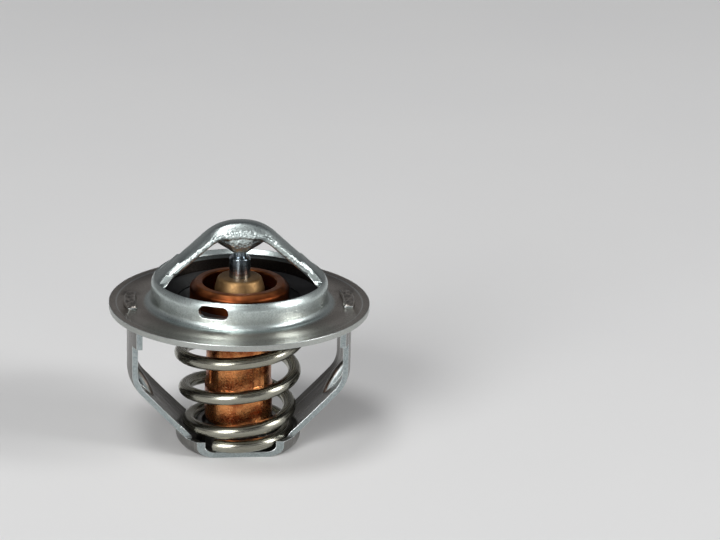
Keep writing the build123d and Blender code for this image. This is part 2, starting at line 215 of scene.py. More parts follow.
# Zinc plate over drawn sheet: bright, faintly green satin metal with a coarse
# sparkling grain. It is browner and duller on the flat of the flange, and
# crushed into a spangle where the punch bent the bridge. A painted highlight
# lies on every edge, and painted shade inside the collar and on the cup's flanks.
collar_inside, collar_top = 0.0171, 0.0049
flat_from, flat_full = 0.0192, 0.0202
rim_line, flange_edge = 0.0255, 0.027
bridge_from, bridge_full = 0.008, 0.012
edge_from, edge_full = 0.0022, 0.0032
cup_full, cup_gone = 0.0055, 0.0075
crown_from, crown_full = 0.0155, 0.0165
flange_zinc, tree, place = new_material("zinc_plated_pressing")
split = add_node(tree, "ShaderNodeSeparateXYZ", {"Vector": place})
flat_place = add_node(tree, "ShaderNodeVectorMath", {0: place, 1: (1.0, 1.0, 0.0)}, operation="MULTIPLY")
radius = add_node(tree, "ShaderNodeVectorMath", {0: flat_place}, operation="LENGTH")
off_middle = add_node(tree, "ShaderNodeMath", {0: split.outputs["Y"]}, operation="ABSOLUTE")

# Where the colour changes: the flat of the flange, the inside of the collar
# (painted shade), the bridge's bent edges and the punched cup.
on_flange = add_node(
    tree, "ShaderNodeMapRange", {"Value": radius, "From Min": flat_from, "From Max": flat_full}, **soft_step
)
# Painted shade: the inside wall of the collar, below its top, is darkened.
within_wall = add_node(
    tree,
    "ShaderNodeMapRange",
    {"Value": radius, "From Min": collar_inside + 0.0004, "From Max": collar_inside + 0.0001},
    **soft_step,
)
below_top = add_node(
    tree,
    "ShaderNodeMapRange",
    {"Value": split.outputs["Z"], "From Min": collar_top - 0.00005, "From Max": collar_top - 0.0002},
    **soft_step,
)
collar_inside_shade = add_node(tree, "ShaderNodeMath", {0: within_wall, 1: below_top}, operation="MULTIPLY")
up_bridge = add_node(
    tree,
    "ShaderNodeMapRange",
    {"Value": split.outputs["Z"], "From Min": bridge_from, "From Max": bridge_full},
    **soft_step,
)
near_edge = add_node(
    tree,
    "ShaderNodeMapRange",
    {"Value": off_middle, "From Min": edge_from, "From Max": edge_full},
    **soft_step,
)
bent_edge = add_node(tree, "ShaderNodeMath", {0: up_bridge, 1: near_edge}, operation="MULTIPLY")
near_axis = add_node(
    tree, "ShaderNodeMapRange", {"Value": radius, "From Min": cup_gone, "From Max": cup_full}, **soft_step
)
below_crown = add_node(
    tree,
    "ShaderNodeMapRange",
    {"Value": split.outputs["Z"], "From Min": crown_full, "From Max": crown_from},
    **soft_step,
)
punched_cup = add_node(tree, "ShaderNodeMath", {0: near_axis, 1: below_crown}, operation="MULTIPLY")
crushed = add_node(tree, "ShaderNodeMath", {0: bent_edge, 1: punched_cup}, operation="MAXIMUM")

# The punch left a flat facet on the front of the cup, 1.5 mm to each side at
# its foot and wider above. The flanks beside it are darkened with painted shade.
facet_half_width, facet_spread, facet_foot = 0.0015, 0.35, 0.0127
off_axis = add_node(tree, "ShaderNodeMath", {0: split.outputs["X"]}, operation="ABSOLUTE")
past_facet = add_node(
    tree, "ShaderNodeMath", {0: split.outputs["Z"], 1: -facet_spread, 2: off_axis}, operation="MULTIPLY_ADD"
)
facet_side = facet_half_width - facet_spread * facet_foot
beside_facet = add_node(
    tree,
    "ShaderNodeMapRange",
    {"Value": past_facet, "From Min": facet_side - 0.0002, "From Max": facet_side + 0.0003, "To Max": 0.75},
    **soft_step,
)
cup_flank_shade = add_node(tree, "ShaderNodeMath", {0: punched_cup, 1: beside_facet}, operation="MULTIPLY")

# Grain of the plating, 0.36 mm so that it shows, its clouds of 4 mm, and the
# spangle of the bent metal in flakes 0.6 mm across.
grain = add_node(
    tree, "ShaderNodeTexNoise", {"Vector": place, "Scale": 1000 / 0.36, "Detail": 4.0, "Roughness": 0.7}
)
clouds = add_node(tree, "ShaderNodeTexNoise", {"Vector": place, "Scale": 1000 / 4.0, "Detail": 3.0})
spangle = add_node(tree, "ShaderNodeTexVoronoi", {"Vector": place, "Scale": 1000 / 0.6}, feature="F1")
speckled = add_node(
    tree, "ShaderNodeMapRange", {"Value": grain, "From Min": 0.32, "From Max": 0.68}, **soft_step
)

# Colours of the plating: cloudy, darker in the grain's hollows and brighter on
# its peaks, browner on the flange, and nearly black inside the collar as painted shade.
cloudy = add_node(
    tree, "ShaderNodeMix", {"Factor": clouds, "A": linear("#B0BCBA"), "B": linear("#CBD5D3")}, **colour_mix
)
hollow = add_node(tree, "ShaderNodeMix", {"Factor": 0.3, "A": cloudy, "B": linear("#8B9894")}, **colour_mix)
peak = add_node(tree, "ShaderNodeMix", {"Factor": 0.4, "A": cloudy, "B": linear("#EAF1EF")}, **colour_mix)
bright_plate = add_node(tree, "ShaderNodeMix", {"Factor": speckled, "A": hollow, "B": peak}, **colour_mix)
brown_plate = add_node(
    tree,
    "ShaderNodeMix",
    {"Factor": speckled, "A": linear("#9A948D"), "B": linear("#BCB6AD")},
    **colour_mix,
)
# Painted shade for the inside of the collar: near-black tones.
painted_shade_plate = add_node(
    tree,
    "ShaderNodeMix",
    {"Factor": speckled, "A": linear("#3A3430"), "B": linear("#57504A")},
    **colour_mix,
)
outer_tone = add_node(
    tree, "ShaderNodeMix", {"Factor": on_flange, "A": bright_plate, "B": brown_plate}, **colour_mix
)
sheet_tone = add_node(
    tree, "ShaderNodeMix", {"Factor": collar_inside_shade, "A": outer_tone, "B": painted_shade_plate}, **colour_mix
)
# Painted shade on the cup's flanks, a dark grey-blue.
flank_shaded_tone = add_node(
    tree, "ShaderNodeMix", {"Factor": cup_flank_shade, "A": sheet_tone, "B": linear("#454D50")}, **colour_mix
)

# The coined line of the rim, 0.3 mm wide, and the sheared edge of the flange.
from_line = add_node(tree, "ShaderNodeMath", {0: radius, 1: rim_line}, operation="SUBTRACT")
beside_line = add_node(tree, "ShaderNodeMath", {0: from_line}, operation="ABSOLUTE")
on_line = add_node(
    tree,
    "ShaderNodeMapRange",
    {"Value": beside_line, "From Min": 0.0002, "From Max": 0.00008, "To Max": 0.75},
    **soft_step,
)
on_edge = add_node(
    tree,
    "ShaderNodeMapRange",
    {"Value": radius, "From Min": flange_edge - 0.0002, "From Max": flange_edge - 0.00005, "To Max": 0.5},
    **soft_step,
)
lined_tone = add_node(
    tree, "ShaderNodeMix", {"Factor": on_line, "A": flank_shaded_tone, "B": linear("#D3D6D3")}, **colour_mix
)

# Painted highlight on the edges: where the rounded normal leaves the true one.
rounded = add_node(tree, "ShaderNodeBevel", {"Radius": 0.00025}, samples=6)
true_normal = add_node(tree, "ShaderNodeNewGeometry").outputs["Normal"]
along = add_node(tree, "ShaderNodeVectorMath", {0: rounded, 1: true_normal}, operation="DOT_PRODUCT")
edge = add_node(
    tree,
    "ShaderNodeMapRange",
    {"Value": along, "From Min": 0.99, "From Max": 0.85, "To Max": 0.9},
    **soft_step,
)
edge_highlight_tone = add_node(
    tree, "ShaderNodeMix", {"Factor": edge, "A": lined_tone, "B": linear("#EDF3F2")}, **colour_mix
)
plated_tone = add_node(
    tree, "ShaderNodeMix", {"Factor": on_edge, "A": edge_highlight_tone, "B": linear("#AEB9B8")}, **colour_mix
)

even_gloss = add_node(
    tree,
    "ShaderNodeMapRange",
    {"Value": grain, "From Min": 0.3, "From Max": 0.7, "To Min": 0.42, "To Max": 0.26},
    **soft_step,
)
dulled = add_node(tree, "ShaderNodeMath", {0: crushed, 1: 0.06, 2: even_gloss}, operation="MULTIPLY_ADD")
grain_relief = add_node(
    tree, "ShaderNodeBump", {"Height": grain, "Normal": rounded, "Strength": 0.22, "Distance": 0.00006}
)
spangle_relief = add_node(
    tree,
    "ShaderNodeBump",
    {"Height": spangle, "Normal": grain_relief, "Strength": crushed, "Distance": 0.00013},
)
surface = add_node(
    tree,
    "ShaderNodeBsdfPrincipled",
    {"Base Color": plated_tone, "Metallic": 1.0, "Roughness": dulled, "Normal": spangle_relief},
)
add_node(tree, "ShaderNodeOutputMaterial", {"Surface": surface})


def merged_copy(node, name, finest, inside):
    """A copy of a solid's surface with its loose triangles joined. Every edge
    that lies inside a box and is longer than the finest length is halved until
    none is left, so that the points there can be moved as one soft sheet."""
    work = bmesh.new()
    work.from_mesh(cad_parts[node].data)
    bmesh.ops.remove_doubles(work, verts=work.verts, dist=1e-7)
    low, high = inside
    for _ in range(6):
        long_edges = [
            side
            for side in work.edges
            if side.calc_length() > finest
            and all(low[i] < (side.verts[0].co[i] + side.verts[1].co[i]) / 2 < high[i] for i in range(3))
        ]
        if not long_edges:
            break
        bmesh.ops.subdivide_edges(work, edges=long_edges, cuts=1)
        bmesh.ops.triangulate(work, faces=[face for face in work.faces if len(face.verts) > 3])
    mesh = bpy.data.meshes.new(name)
    work.to_mesh(mesh)
    work.free()
    mesh.polygons.foreach_set("use_smooth", [True] * len(mesh.polygons))
    mesh.set_sharp_from_angle(angle=math.radians(32))
    piece = bpy.data.objects.new(name, mesh)
    bpy.context.scene.collection.objects.link(piece)
    return piece


def smooth_step(value, low, high):
    """From 0 to 1 between two limits, as three squares less two cubes."""
    share = np.clip((value - low) / (high - low), 0, 1)
    return share * share * (3 - 2 * share)


# Where the cup was punched into the bridge its edges bent down with it. That
# is a soft bell along the bridge, and nothing at its middle line.
lip_drop, lip_reach, lip_from, lip_full = 0.0013, 0.0062, 0.0012, 0.0033
crown_dip, crown_reach = 0.0003, 0.0045
cup_middle, cup_head = 0.0126, 0.0144
bent_region = ((-0.014, -0.005, 0.012), (0.014, 0.005, 0.02))
pressing = merged_copy("upper_frame", "zinc_pressing", finest=0.00045, inside=bent_region)
points = np.empty(len(pressing.data.vertices) * 3)
pressing.data.vertices.foreach_get("co", points)
points = points.reshape(-1, 3)
above_cup = smooth_step(points[:, 2], cup_middle, cup_head)
towards_edge = smooth_step(np.abs(points[:, 1]), lip_from, lip_full)
lip_bell = lip_drop * np.exp(-((points[:, 0] / lip_reach) ** 2)) * towards_edge
crown_bell = crown_dip * np.exp(-((points[:, 0] / crown_reach) ** 2))
points[:, 2] -= above_cup * (lip_bell + crown_bell)
pressing.data.vertices.foreach_set("co", points.reshape(-1))
pressing.data.update()
pressing.data.materials.append(flange_zinc)
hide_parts("upper_frame")
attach(pressing, "frame")


# Lower frame
# One blanked steel strip, bent into two legs and a pan for the spring, zinc
# plated. Its tabs pass up through the flange and are crushed flat there.


def finish_solid(node, material):
    """Puts a finish on a rigid solid that is shown as the frame gives it."""
    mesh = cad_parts[node].data
    mesh.materials.clear()
    mesh.materials.append(material)


# Zinc plate over rolled strip with faint rolling lines: painted shade keeps the
# rolled faces dark grey, painted highlight makes sheared faces and edges bright.
strip_zinc, tree, place = new_material("zinc_plated_strip")
# Rolling lines 0.4 mm apart across the strip and 12 mm long.
line_place = add_node(
    tree, "ShaderNodeMapping", {"Vector": place, "Scale": (1000 / 12, 1000 / 0.4, 1000 / 12)}
)
lines = add_node(tree, "ShaderNodeTexNoise", {"Vector": line_place, "Scale": 1.0, "Detail": 2.0})
grain = add_node(
    tree, "ShaderNodeTexNoise", {"Vector": place, "Scale": 1000 / 0.4, "Detail": 4.0, "Roughness": 0.7}
)
speckled = add_node(
    tree, "ShaderNodeMapRange", {"Value": grain, "From Min": 0.36, "From Max": 0.64}, **soft_step
)
true_normal = add_node(tree, "ShaderNodeNewGeometry").outputs["Normal"]
facing = add_node(tree, "ShaderNodeSeparateXYZ", {"Vector": true_normal})
sideways = add_node(tree, "ShaderNodeMath", {0: facing.outputs["Y"]}, operation="ABSOLUTE")
# Faces that point along Y, the sheared ones, take a painted highlight tone.
sheared = add_node(
    tree, "ShaderNodeMapRange", {"Value": sideways, "From Min": 0.8, "From Max": 0.95}, **soft_step
)
# Painted shade: the rolled faces' tone is kept dark, with the rolling lines in it.
rolled_lines_and_shade_tone = add_node(
    tree, "ShaderNodeMix", {"Factor": lines, "A": linear("#605E5B"), "B": linear("#9B9A97")}, **colour_mix
)
sheared_highlight_tone = add_node(
    tree,
    "ShaderNodeMix",
    {"Factor": speckled, "A": linear("#939C9D"), "B": linear("#ADB6B7")},
    **colour_mix,
)
tone = add_node(
    tree, "ShaderNodeMix", {"Factor": sheared, "A": rolled_lines_and_shade_tone, "B": sheared_highlight_tone}, **colour_mix
)
rounded = add_node(tree, "ShaderNodeBevel", {"Radius": 0.00022}, samples=6)
along = add_node(tree, "ShaderNodeVectorMath", {0: rounded, 1: true_normal}, operation="DOT_PRODUCT")
# Painted highlight on the strip's edges, where the rounded normal leaves the true one.
edge = add_node(
    tree,
    "ShaderNodeMapRange",
    {"Value": along, "From Min": 0.99, "From Max": 0.85, "To Max": 0.85},
    **soft_step,
)
edge_highlight_tone = add_node(
    tree, "ShaderNodeMix", {"Factor": edge, "A": tone, "B": linear("#F0F5F5")}, **colour_mix
)
gloss = add_node(
    tree,
    "ShaderNodeMapRange",
    {"Value": lines, "From Min": 0.3, "From Max": 0.7, "To Min": 0.42, "To Max": 0.24},
    **soft_step,
)
relief = add_node(
    tree, "ShaderNodeBump", {"Height": grain, "Normal": rounded, "Strength": 0.5, "Distance": 0.00008}
)
surface = add_node(
    tree,
    "ShaderNodeBsdfPrincipled",
    {"Base Color": edge_highlight_tone, "Metallic": 1.0, "Roughness": gloss, "Normal": relief},
)
add_node(tree, "ShaderNodeOutputMaterial", {"Surface": surface})
finish_solid("lower_frame", strip_zinc)


# Crushed tab heads
# The ends of the legs' tabs, driven down on the flange by a toothed punch that
# spread the steel into a ragged, lumpy head with a raised rim. Their plating
# has dulled to the tone of the flange round them.
head_middle, head_half_width, head_half_length = 0.0227, 0.00125, 0.0051
head_foot, head_height = 0.00115, 0.00058
head_rings, head_around = 26, 120


def ring_faces(rings, around):
    """Quads between neighbouring rings of a grid that closes on itself."""
    ring = np.arange(rings - 1)[:, None] * around
    step = np.arange(around)[None, :]
    after = (step + 1) % around
    corners = [ring + step, ring + after, ring + around + after, ring + around + step]
    return np.stack(corners, axis=-1).reshape(-1, 4)


def crushed_head(side, seed):
    """A lumpy pad on one side of the flange. Rings of a rounded oblong shrink to
    its middle, and bend round the axis with the flange. Its height is a steep
    shoulder, a raised rim and lumps, the sum of seeded ripples in all ways."""
    draw = np.random.default_rng(seed)
    share = np.linspace(1, 0.03, head_rings)[:, None]
    turn = np.linspace(0, 2 * math.pi, head_around, endpoint=False)[None, :]
    ragged = 1
    for waves in (5, 7, 11, 16):
        ragged = ragged + draw.uniform(0.01, 0.03) * np.sin(waves * turn + draw.uniform(0, 6.3))
    oblong_across = np.sign(np.cos(turn)) * np.abs(np.cos(turn)) ** 0.7
    oblong_along = np.sign(np.sin(turn)) * np.abs(np.sin(turn)) ** 0.45
    across = head_half_width * share * oblong_across * ragged
    along = head_half_length * share * oblong_along * ragged
    shoulder = np.sqrt(np.clip(1 - share**9, 0, 1))
    rim = np.exp(-(((share - 0.84) / 0.1) ** 2))
    lumps = 0
    for way in draw.uniform(0, math.pi, 9):
        run = across * np.cos(way) + along * np.sin(way)
        ripple_length = draw.uniform(0.0009, 0.0028)
        lumps = lumps + np.sin(run * 2 * math.pi / ripple_length + draw.uniform(0, 6.3))
    height = head_foot + head_height * shoulder * (1 + 0.34 * rim + 0.26 * lumps / 3.5)
    angle = along / head_middle
    radius = head_middle + across
    pad = np.stack([side * radius * np.cos(angle), side * radius * np.sin(angle), height], axis=-1)
    return pad.reshape(-1, 3)


for side, name in ((1, "right_tab_head"), (-1, "left_tab_head")):
    points = crushed_head(side, seed=12 + side)
    middle = points[-head_around:].mean(axis=0)
    last_ring = (head_rings - 1) * head_around + np.arange(head_around)
    cap = np.stack([last_ring, np.roll(last_ring, -1), np.full(head_around, len(points))], axis=-1)
    faces = ring_faces(head_rings, head_around).tolist() + cap.tolist()
    head = mesh_piece(name, np.vstack([points, middle]), faces, flange_zinc)
    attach(head, "frame")


# Main spring
# Round spring-steel wire coiled cold into a cone with closed ends. It stands
# in the pan and presses the valve plate up against the flange.
wire_radius = 0.00135
coil_foot_radius, coil_head_radius = 0.0101, 0.0129
coil_turns, closed_turns = 4.36, 0.95
coil_start = math.radians(237.5)
closed_pitch = 0.00276
coil_floor, coil_top = -0.0289, -0.0016


def wire_centre(turns):
    """The wire's middle after so many turns from its foot. It climbs one wire
    a turn in the closed coils and the active pitch between them, and one blends
    into the other as soft ramps. The radius grows in step with the height."""
    rise = coil_top - coil_floor - 2 * wire_radius
    active_pitch = closed_pitch + (rise - closed_pitch * coil_turns) / (coil_turns - 2 * closed_turns)
    soft = 0.07
    opened = np.logaddexp(0, (turns - closed_turns) / soft)
    closed_again = np.logaddexp(0, (turns - coil_turns + closed_turns) / soft)
    climb = closed_pitch * turns + (active_pitch - closed_pitch) * soft * (opened - closed_again)
    radius = coil_foot_radius + (coil_head_radius - coil_foot_radius) * climb / rise
    angle = coil_start + 2 * math.pi * turns
    height = coil_floor + wire_radius + climb
    return np.stack([radius * np.cos(angle), radius * np.sin(angle), height], axis=-1)


def round_wire(centres, radii, around):
    """Rings of points round a line: each ring lies square to the line, on one
    side along the direction that points away from the axis."""
    forward = np.gradient(centres, axis=0)
    forward /= np.linalg.norm(forward, axis=1, keepdims=True)
    outward = centres * [1, 1, 0]
    outward -= forward * np.sum(outward * forward, axis=1, keepdims=True)
    outward /= np.linalg.norm(outward, axis=1, keepdims=True)
    upward = np.cross(forward, outward)
    turn = np.linspace(0, 2 * math.pi, around, endpoint=False)
    spokes = np.cos(turn)[None, :, None] * outward[:, None] + np.sin(turn)[None, :, None] * upward[:, None]
    return centres[:, None] + radii[:, None, None] * spokes


# Cold-drawn spring steel: olive-grey, satin, with fine drawing lines that run
# along the wire and catch the lamps as streaks.
wire_steel, tree, place = new_material("drawn_spring_steel")
wire_map = add_node(tree, "ShaderNodeUVMap", uv_map="wire")
# The map is in metres along and round the wire: lines 0.25 mm apart, 9 mm long.
line_place = add_node(
    tree, "ShaderNodeMapping", {"Vector": wire_map, "Scale": (1000 / 9, 1000 / 0.25, 1.0)}
)
lines = add_node(tree, "ShaderNodeTexNoise", {"Vector": line_place, "Scale": 1.0, "Detail": 3.0})
patches = add_node(tree, "ShaderNodeTexNoise", {"Vector": place, "Scale": 1000 / 5.0, "Detail": 2.0})
tone = add_node(
    tree,
    "ShaderNodeMix",
    {"Factor": lines, "A": linear("#87877B"), "B": linear("#C4C4B8")},
    **colour_mix,
)
wear_and_highlight_tone = add_node(
    tree,
    "ShaderNodeMix",
    {"Factor": patches, "A": tone, "B": linear("#8F8C7F")},
    **colour_mix,
)
gloss = add_node(
    tree,
    "ShaderNodeMapRange",
    {"Value": lines, "From Min": 0.3, "From Max": 0.7, "To Min": 0.15, "To Max": 0.36},
    **soft_step,
)
relief = add_node(tree, "ShaderNodeBump", {"Height": lines, "Strength": 0.45, "Distance": 0.00006})
surface = add_node(
    tree,
    "ShaderNodeBsdfPrincipled",
    {
        "Base Color": wear_and_highlight_tone,
        "Metallic": 1.0,
        "Roughness": gloss,
        "Normal": relief,
    },
)
add_node(tree, "ShaderNodeOutputMaterial", {"Surface": surface})

wire_steps, wire_around = 720, 40
centres = wire_centre(np.linspace(0, coil_turns, wire_steps))
# The sheared ends: the first and last rings shrink onto the wire's middle.
end_share = np.array([0.0, 0.55, 0.9, 1.0])
path = np.concatenate([np.repeat(centres[:1], 3, axis=0), centres, np.repeat(centres[-1:], 3, axis=0)])
radii = wire_radius * np.concatenate([end_share[:3], np.ones(wire_steps), end_share[2::-1]])
first_way = (centres[1] - centres[0]) / np.linalg.norm(centres[1] - centres[0])
last_way = (centres[-1] - centres[-2]) / np.linalg.norm(centres[-1] - centres[-2])
end_steps = np.array([0.0, 0.00001, 0.00003, 0.00018])
path[:4] += np.outer(end_steps, first_way)
path[-4:] -= np.outer(end_steps[::-1], last_way)
rings = round_wire(path, radii, wire_around)
spring = mesh_piece(
    "spring_coil", rings.reshape(-1, 3), ring_faces(len(path), wire_around)[:, ::-1], wire_steel
)

# The map of the wire's surface. In the quads that close a ring, the corners
# at the ring's first point count as a full turn on.
run = np.concatenate([[0], np.cumsum(np.linalg.norm(np.diff(path, axis=0), axis=1))])
corner = np.zeros(len(spring.data.loops), np.int32)
spring.data.loops.foreach_get("vertex_index", corner)
ring_of, place_of = corner // wire_around, (corner % wire_around).reshape(-1, 4)
closing = place_of.max(axis=1) - place_of.min(axis=1) > wire_around / 2
place_of = place_of + np.where(closing[:, None] & (place_of == 0), wire_around, 0)
run_round = place_of.reshape(-1) * 2 * math.pi * wire_radius / wire_around
wire_uv = spring.data.uv_layers.new(name="wire")
wire_uv.data.foreach_set("uv", np.stack([run[ring_of], run_round], axis=-1).astype(np.float32).reshape(-1))
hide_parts("main_spring")
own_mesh(spring)
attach(spring, "frame")


# Piston
# A ground stainless rod. Its narrower tip is held in the bridge's socket and
# its lower end is pushed out of the wax capsule when the wax swells.

# Centreless-ground stainless steel: a cold satin shine, with the wheel's fine
# rings round the rod and faint streaks along it where it has slid.
rod_steel, tree, place = new_material("ground_stainless_steel")
# Streaks 0.3 mm apart round the rod and 8 mm long.
line_place = add_node(
    tree, "ShaderNodeMapping", {"Vector": place, "Scale": (1000 / 0.3, 1000 / 0.3, 1000 / 8)}
)
lines = add_node(tree, "ShaderNodeTexNoise", {"Vector": line_place, "Scale": 1.0, "Detail": 2.0})
# The grinding wheel's rings, 0.15 mm apart along the rod.
wheel_place = add_node(
    tree, "ShaderNodeMapping", {"Vector": place, "Scale": (1000 / 6, 1000 / 6, 1000 / 0.15)}
)
wheel = add_node(tree, "ShaderNodeTexNoise", {"Vector": wheel_place, "Scale": 1.0, "Detail": 1.0})
slid = add_node(
    tree, "ShaderNodeMapRange", {"Value": lines, "From Min": 0.35, "From Max": 0.65}, **soft_step
)
tone = add_node(
    tree, "ShaderNodeMix", {"Factor": slid, "A": linear("#77828A"), "B": linear("#A9B4BC")}, **colour_mix
)
gloss = add_node(
    tree,
    "ShaderNodeMapRange",
    {"Value": wheel, "From Min": 0.3, "From Max": 0.7, "To Min": 0.17, "To Max": 0.26},
    **soft_step,
)
rounded = add_node(tree, "ShaderNodeBevel", {"Radius": 0.00015}, samples=6)
relief = add_node(
    tree,
    "ShaderNodeBump",
    {"Height": wheel, "Normal": rounded, "Strength": 0.08, "Distance": 0.00003},
)
surface = add_node(
    tree,
    "ShaderNodeBsdfPrincipled",
    {"Base Color": tone, "Metallic": 1.0, "Roughness": gloss, "Normal": relief},
)
add_node(tree, "ShaderNodeOutputMaterial", {"Surface": surface})
finish_solid("piston", rod_steel)


# Piston guide
# Turned brass bush that the piston slides in, held by its flange under the
# capsule's rolled-over rim.

# Turned brass, tumbled: matt yellow-brown with fine turning rings.
hub_brass, tree, place = new_material("tumbled_brass")
grain = add_node(tree, "ShaderNodeTexNoise", {"Vector": place, "Scale": 1000 / 0.3, "Detail": 3.0})
clouds = add_node(tree, "ShaderNodeTexNoise", {"Vector": place, "Scale": 1000 / 2.5, "Detail": 3.0})
# Turning rings 0.25 mm apart, as a noise that changes only with height.
ring_place = add_node(
    tree, "ShaderNodeMapping", {"Vector": place, "Scale": (1000 / 9, 1000 / 9, 1000 / 0.25)}
)
rings_cut = add_node(tree, "ShaderNodeTexNoise", {"Vector": ring_place, "Scale": 1.0, "Detail": 1.0})
tone = add_node(
    tree,
    "ShaderNodeMix",
    {"Factor": clouds, "A": linear("#745839"), "B": linear("#A3845B")},
    **colour_mix,
)
gloss = add_node(
    tree,
    "ShaderNodeMapRange",
    {"Value": grain, "From Min": 0.3, "From Max": 0.7, "To Min": 0.62, "To Max": 0.4},
    **soft_step,
)
ring_relief = add_node(
    tree, "ShaderNodeBump", {"Height": rings_cut, "Strength": 0.25, "Distance": 0.00004}
)
relief = add_node(
    tree,
    "ShaderNodeBump",
    {"Height": grain, "Normal": ring_relief, "Strength": 0.4, "Distance": 0.00006},
)
surface = add_node(
    tree,
    "ShaderNodeBsdfPrincipled",
    {
        "Base Color": tone,
        "Metallic": 1.0,
        "Roughness": gloss,
        "Normal": relief,
    },
)
add_node(tree, "ShaderNodeOutputMaterial", {"Surface": surface})
finish_solid("piston_guide", hub_brass)


# Wax capsule
# A deep-drawn copper cup, filled with wax and rolled over the guide's flange.
# Four pockets with arched tops are pressed into its upper wall, to grip the
# wax, and it is a little wider below a step.
cup_upper_radius, cup_lower_radius = 0.0068, 0.00707
cup_step, cup_step_rise = -0.0164, 0.0004
cup_bottom, cup_corner = float(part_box("wax_capsule")[0].z), 0.0019
cup_wall = 0.0008
cup_rim, cup_lip, cup_bore = 0.0016, 0.0003, 0.00525
pocket_turns = np.radians([-56, 34, 124, 214])
pocket_half_width, pocket_top, pocket_foot = 0.00125, -0.0111, -0.0161
pocket_depth = 0.00038


def corner_arc(centre_r, centre_z, radius, start, end, count):
    """Points on an arc of a profile, from one angle in degrees to another."""
    angle = np.radians(np.linspace(start, end, count))
    return np.stack([centre_r + radius * np.cos(angle), centre_z + radius * np.sin(angle)], axis=-1)


def turned(profile, around, shape):
    """A profile of radius and height carried round the axis. The points on the
    axis become one point each, and shape moves the others in or out."""
    angle = np.linspace(0, 2 * math.pi, around, endpoint=False)
    radius = np.repeat(profile[1:-1, :1], around, axis=1)
    height = np.repeat(profile[1:-1, 1:], around, axis=1)
    radius = radius + shape(radius, height, angle[None, :])
    body = np.stack([radius * np.cos(angle), radius * np.sin(angle), height], axis=-1).reshape(-1, 3)
    poles = np.array([[0, 0, profile[0, 1]], [0, 0, profile[-1, 1]]])
    first, last = len(body), len(body) + 1
    step = np.arange(around)
    after = (step + 1) % around
    top_ring = (len(profile) - 3) * around
    faces = [list(face) for face in ring_faces(len(profile) - 2, around)]
    faces += np.stack([np.full(around, first), after, step], axis=-1).tolist()
    faces += np.stack([np.full(around, last), top_ring + step, top_ring + after], axis=-1).tolist()
    return np.concatenate([body, poles]), faces


def pressed_pockets(radius, height, angle):
    """How far the four pockets sink the wall: full depth inside an outline of
    straight sides with a half-round top, and a soft slope at the outline."""
    away = np.abs((angle[..., None] - pocket_turns + math.pi) % (2 * math.pi) - math.pi).min(axis=-1)
    across = away * cup_upper_radius
    above = np.maximum(height - (pocket_top - pocket_half_width), 0)
    outline = np.hypot(across, above) - pocket_half_width
    inside = 1 / (1 + np.exp(np.clip(outline / 0.00007, -40, 40)))
    ended = 1 / (1 + np.exp(np.clip((pocket_foot - height) / 0.0001, -40, 40)))
    on_outer_wall = (radius > cup_upper_radius - 0.00005) & (height > cup_step)
    return np.where(on_outer_wall, -pocket_depth * inside * ended, 0)


# Tumbled copper: warm brown with deeper clouds where it has aged, painted
# glints as a bright pin-point speckle, and small dents that break the lamps' reflections up.
cup_copper, tree, place = new_material("tumbled_copper")
# Speckle 0.3 mm across, clouds of 3 mm and dents of 0.5 mm.
speckle = add_node(
    tree, "ShaderNodeTexNoise", {"Vector": place, "Scale": 1000 / 0.3, "Detail": 4.0, "Roughness": 0.75}
)
clouds = add_node(tree, "ShaderNodeTexNoise", {"Vector": place, "Scale": 1000 / 3.0, "Detail": 3.0})
dents = add_node(tree, "ShaderNodeTexVoronoi", {"Vector": place, "Scale": 1000 / 0.5}, feature="F1")
cloudy = add_node(
    tree, "ShaderNodeMapRange", {"Value": clouds, "From Min": 0.35, "From Max": 0.65}, **soft_step
)
aged = add_node(
    tree, "ShaderNodeMix", {"Factor": cloudy, "A": linear("#9A5531"), "B": linear("#D69059")}, **colour_mix
)
# Painted glints: the speckle's brightest points turn pale gold.
painted_glints = add_node(
    tree, "ShaderNodeMapRange", {"Value": speckle, "From Min": 0.6, "From Max": 0.68}, **soft_step
)
tone = add_node(
    tree, "ShaderNodeMix", {"Factor": painted_glints, "A": aged, "B": linear("#F6C994")}, **colour_mix
)
gloss = add_node(
    tree,
    "ShaderNodeMapRange",
    {"Value": speckle, "From Min": 0.3, "From Max": 0.7, "To Min": 0.22, "To Max": 0.36},
    **soft_step,
)
dent_relief = add_node(tree, "ShaderNodeBump", {"Height": dents, "Strength": 0.35, "Distance": 0.00009})
relief = add_node(
    tree, "ShaderNodeBump", {"Height": speckle, "Normal": dent_relief, "Strength": 0.3, "Distance": 0.00008}
)
surface = add_node(
    tree,
    "ShaderNodeBsdfPrincipled",
    {"Base Color": tone, "Metallic": 1.0, "Roughness": gloss, "Normal": relief},
)
add_node(tree, "ShaderNodeOutputMaterial", {"Surface": surface})

corner_r, corner_z = cup_lower_radius - cup_corner, cup_bottom + cup_corner
lower_heights = np.linspace(corner_z + 0.0005, cup_step - cup_step_rise, 16)
upper_heights = np.linspace(cup_step, cup_rim - cup_lip, 120)
inner_rim = cup_rim - cup_wall
profile = np.concatenate(
    [
        [[0, cup_bottom], [0.0005, cup_bottom]],
        corner_arc(corner_r, corner_z, cup_corner, -90, 0, 14),
        [[cup_lower_radius, height] for height in lower_heights],
        [[cup_upper_radius, height] for height in upper_heights],
        corner_arc(cup_upper_radius - cup_lip, cup_rim - cup_lip, cup_lip, 10, 90, 6),
        [[cup_bore, cup_rim], [cup_bore, inner_rim], [cup_upper_radius - cup_wall, inner_rim]],
        [[cup_upper_radius - cup_wall, cup_step], [cup_lower_radius - cup_wall, cup_step - cup_step_rise]],
        corner_arc(corner_r, corner_z, cup_corner - cup_wall, 0, -90, 6),
        [[0, cup_bottom + cup_wall]],
    ]
)
points, faces = turned(profile, 300, pressed_pockets)
capsule = mesh_piece("copper_cup", points, faces, cup_copper)
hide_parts("wax_capsule")
